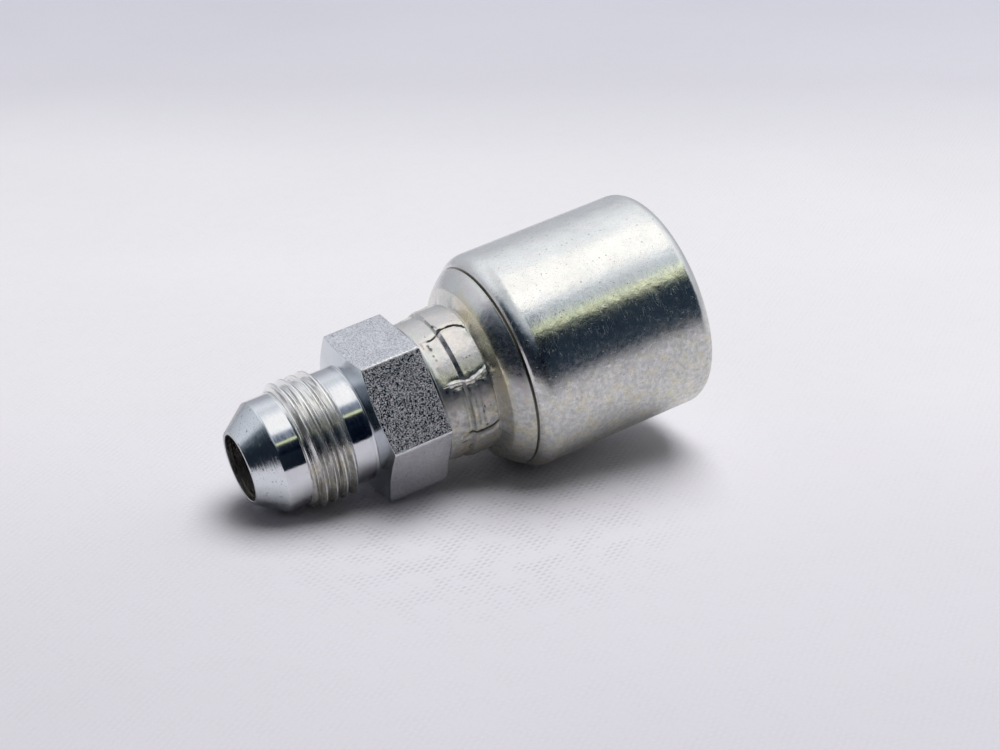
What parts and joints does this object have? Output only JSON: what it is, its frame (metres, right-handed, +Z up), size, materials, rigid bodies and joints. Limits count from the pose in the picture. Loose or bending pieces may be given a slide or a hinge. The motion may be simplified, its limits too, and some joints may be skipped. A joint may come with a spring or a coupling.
{
  "type": "crimp hose fitting",
  "caption": "Steel crimp fitting for hydraulic hose: flared male thread end, wrench hexagon, and a barbed stem inside a ferrule staked on its neck.",
  "frame": {"origin": "on the floor, under the middle of the fitting's box as it lies at rest", "axes": "+Z up, +X along the floor from the flared nose towards the mouth of the shell; the fitting's own axis rises 11.9 degrees from +X towards +Z, because it lies on its shell's shoulder and its first thread crest"},
  "size_m": [0.0712, 0.0332, 0.0376],
  "materials": {
    "nipple_steel": "bright zinc-plated steel, turned, with a grained hexagon",
    "shell_steel": "bright zinc-plated steel with fine speckle and faint warm tints"
  },
  "bodies": {
    "root": {"nipple": "nipple_steel", "crimp_shell": "shell_steel"}
  },
  "joints": []
}
